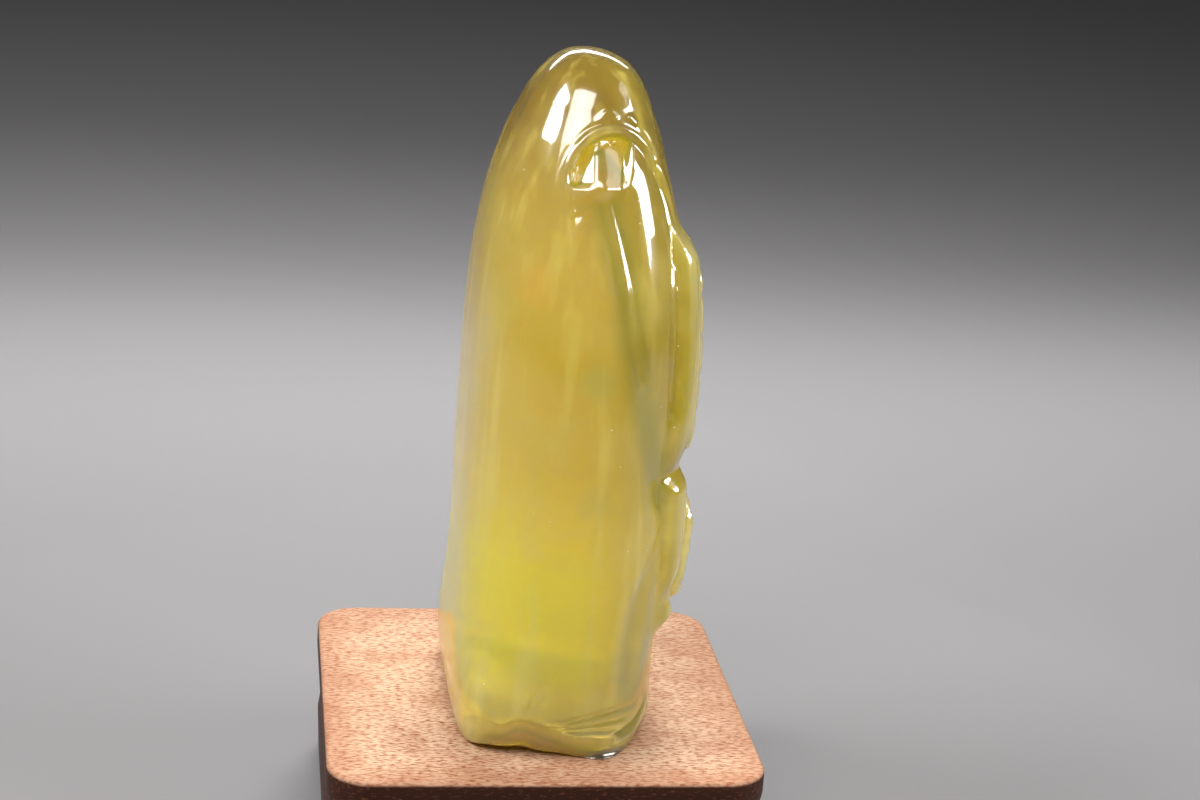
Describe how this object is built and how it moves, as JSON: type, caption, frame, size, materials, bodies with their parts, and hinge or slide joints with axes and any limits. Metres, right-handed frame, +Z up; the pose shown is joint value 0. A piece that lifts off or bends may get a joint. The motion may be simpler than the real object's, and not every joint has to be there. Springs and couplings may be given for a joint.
{
  "type": "carved citrine stone on a wooden stand",
  "caption": "Upright polished honey-yellow stone with a smooth rounded back, hooded crown and leaf relief on its front, resting on a small square wooden stand.",
  "frame": {"origin": "middle of the wooden stand's underside", "axes": "+Z up along the stone's height, +X towards the stone's carved front, -X towards its plain back"},
  "size_m": [0.04, 0.04, 0.0764],
  "materials": {
    "citrine": "polished, translucent",
    "rosewood": "satin"
  },
  "bodies": {
    "root": {"carved_stone": "citrine", "wooden_stand": "rosewood"}
  },
  "joints": []
}
